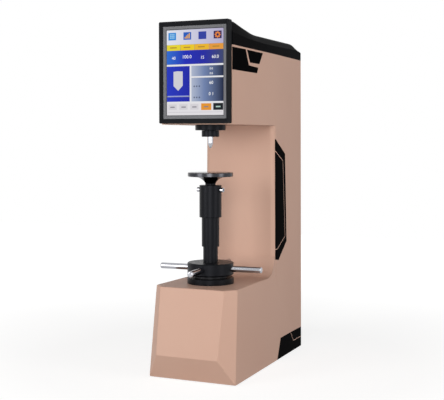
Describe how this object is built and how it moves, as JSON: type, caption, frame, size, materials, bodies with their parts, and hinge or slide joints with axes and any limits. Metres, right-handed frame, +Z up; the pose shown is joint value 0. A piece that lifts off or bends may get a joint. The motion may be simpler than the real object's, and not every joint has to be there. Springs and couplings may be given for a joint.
{
  "type": "bench hardness tester",
  "caption": "C-frame bench hardness tester: a screw lift raises a round anvil to an indenter that an enclosed motor-driven lever loads; touch display at the head.",
  "frame": {"origin": "centre of the footprint on the surface that the feet stand on", "axes": "+Z up along the lift screw; +Y from the display at the front to the connectors at the rear; +X to the right of a person who looks at the display"},
  "size_m": [0.247, 0.4853, 0.792],
  "materials": {
    "painted_casting": "satin",
    "gloss_black_panel": "gloss",
    "black_cover": "satin",
    "plated_steel": "satin",
    "black_rubber": "matte",
    "black_oxide_steel": "satin",
    "display_plastic": "satin",
    "bezel_plastic": "satin",
    "screen_glass": "gloss",
    "lcd": "gloss",
    "circuit_board": "satin",
    "black_plastic": "satin",
    "blued_steel": "satin",
    "chromed_steel": "polished",
    "ground_steel": "ground",
    "bronze": "turned",
    "forged_steel": "machined",
    "aluminium_block": "machined",
    "diamond": "polished"
  },
  "bodies": {
    "frame": {"housing": "painted_casting", "head_inlays": "gloss_black_panel", "column_inlays": "gloss_black_panel", "base_inlays": "gloss_black_panel", "top_cover": "black_cover", "rear_cover": "black_cover", "rear_panel_screws": "black_oxide_steel", "base_plate": "plated_steel", "base_plate_screws": "black_oxide_steel", "rubber_feet": "black_rubber", "foot_screws": "plated_steel", "display_housing": "display_plastic", "display_bezel": "bezel_plastic", "touch_glass": "screen_glass", "lcd_panel": "lcd", "control_board": "circuit_board", "power_supply": "plated_steel", "power_inlet": "black_plastic", "power_switch_body": "black_plastic", "data_ports": "plated_steel", "nose_flange": "blued_steel", "nose_screws": "black_oxide_steel", "spindle_bushes": "bronze", "lever_bracket": "forged_steel", "lever_bracket_screws": "black_oxide_steel", "lever_pivot": "ground_steel", "drive_screw_bearing": "ground_steel", "guide_rods": "ground_steel", "drive_bracket": "aluminium_block", "drive_motor": "black_oxide_steel", "displacement_sensor": "plated_steel", "base_ring": "blued_steel", "base_ring_screws": "black_oxide_steel", "thrust_bearing": "ground_steel", "guide_bush": "bronze", "guide_key": "ground_steel"},
    "handwheel": {"handwheel_hub": "blued_steel", "handwheel_spokes": "chromed_steel", "lift_nut": "bronze", "lower_sleeve": "blued_steel", "hub_screws": "black_oxide_steel"},
    "lift": {"elevating_screw": "ground_steel", "upper_sleeve": "blued_steel", "sleeve_screws": "black_oxide_steel"},
    "anvil": {"anvil": "ground_steel"},
    "middle_sleeve": {"middle_sleeve": "blued_steel"},
    "spindle": {"spindle": "blued_steel", "indenter": "chromed_steel", "diamond_tip": "diamond", "indenter_set_screw": "black_oxide_steel"},
    "lever": {"lever": "forged_steel", "lever_bearings": "ground_steel"},
    "crosshead": {"crosshead": "forged_steel", "disc_springs": "ground_steel", "load_cell": "aluminium_block", "pull_rod": "forged_steel"},
    "drive_screw": {"drive_screw": "ground_steel", "motor_shaft": "ground_steel", "motor_coupling": "aluminium_block"},
    "power_rocker": {"power_rocker": "black_plastic"}
  },
  "joints": [
    {"name": "handwheel_turn", "type": "hinge", "parent": "frame", "child": "handwheel", "pos_m": [0, -0.11712, 0.24], "axis": [0, 0, 1], "range_deg": [-3744, 4608]},
    {"name": "lift_slide", "type": "slide", "parent": "frame", "child": "lift", "axis": [0, 0, 1], "range_m": [-0.06401, 0.05201]},
    {"name": "middle_sleeve_slide", "type": "slide", "parent": "frame", "child": "middle_sleeve", "axis": [0, 0, 1], "range_m": [-0.03457, 0.02809]},
    {"name": "anvil_turn", "type": "hinge", "parent": "lift", "child": "anvil", "pos_m": [0, -0.11712, 0.455], "axis": [0, 0, 1], "continuous": true},
    {"name": "drive_screw_turn", "type": "hinge", "parent": "frame", "child": "drive_screw", "pos_m": [0, 0.15788, 0.3], "axis": [0, 0, 1], "range_deg": [0, 1373.5]},
    {"name": "crosshead_slide", "type": "slide", "parent": "frame", "child": "crosshead", "axis": [0, 0, -1], "range_m": [0, 0.01525]},
    {"name": "lever_tilt", "type": "hinge", "parent": "frame", "child": "lever", "pos_m": [0, -0.14712, 0.655], "axis": [1, 0, 0], "range_deg": [-2.87, 0]},
    {"name": "spindle_slide", "type": "slide", "parent": "frame", "child": "spindle", "axis": [0, 0, -1], "range_m": [0, 0.00151]},
    {"name": "power_rocker_tilt", "type": "hinge", "parent": "frame", "child": "power_rocker", "pos_m": [0.002, 0.23723, 0.096], "axis": [1, 0, 0], "range_deg": [-16, 0]}
  ],
  "couplings": [
    {"joint": "lift_slide", "follows": "handwheel_turn", "m_per_rad": -0.00079577},
    {"joint": "middle_sleeve_slide", "follows": "handwheel_turn", "m_per_rad": -0.00042972},
    {"joint": "drive_screw_turn", "follows": "crosshead_slide", "rad_per_m": 1570.8},
    {"joint": "lever_tilt", "follows": "crosshead_slide", "rad_per_m": -3.2787},
    {"joint": "spindle_slide", "follows": "crosshead_slide", "ratio": 0.098361}
  ]
}
